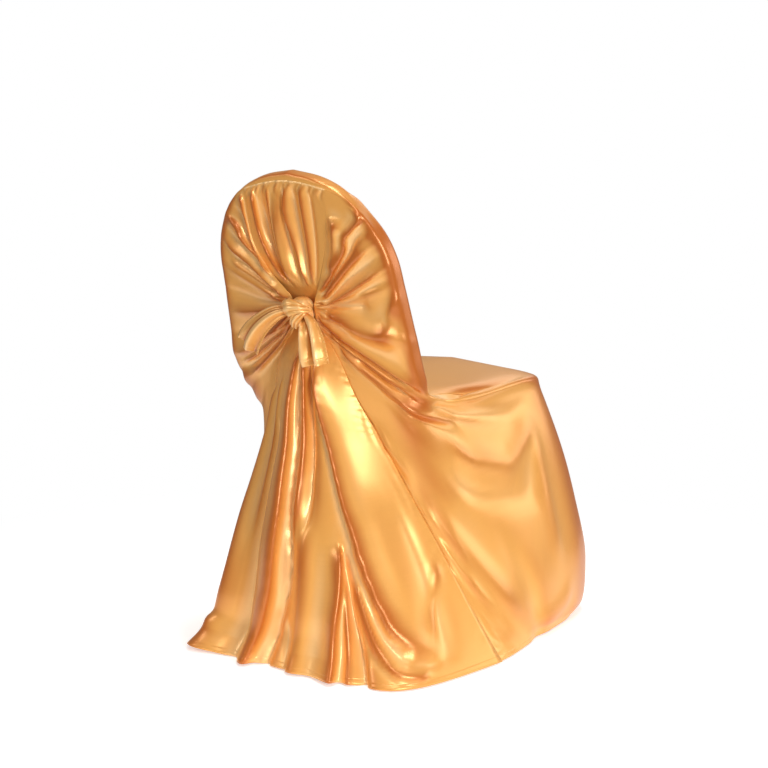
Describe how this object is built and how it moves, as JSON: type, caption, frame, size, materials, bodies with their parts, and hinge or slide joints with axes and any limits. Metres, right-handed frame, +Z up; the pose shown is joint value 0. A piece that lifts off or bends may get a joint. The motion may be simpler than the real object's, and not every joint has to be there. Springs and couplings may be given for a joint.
{
  "type": "self-tie chair cover with sash",
  "caption": "Satin slip cover draped over a whole chair to the floor, its rear cloth gathered into a knotted sash behind the chair back.",
  "frame": {"origin": "under the crown of the hood, where the top of the chair's back carries the cover", "axes": "+Z up, +Y the way the covered chair faces, +X to the sitter's right-hand side as modelled, the knot at the rear"},
  "size_m": [0.6441, 0.7148, 0.8855],
  "materials": {
    "cover": "gold satin",
    "back_panel": "gold satin",
    "knot": "gold satin",
    "tie_left": "gold satin",
    "tie_right": "gold satin"
  },
  "bodies": {
    "root": {"cover": "cover", "back_panel": "back_panel", "knot": "knot", "tie_left": "tie_left", "tie_right": "tie_right"}
  },
  "joints": []
}
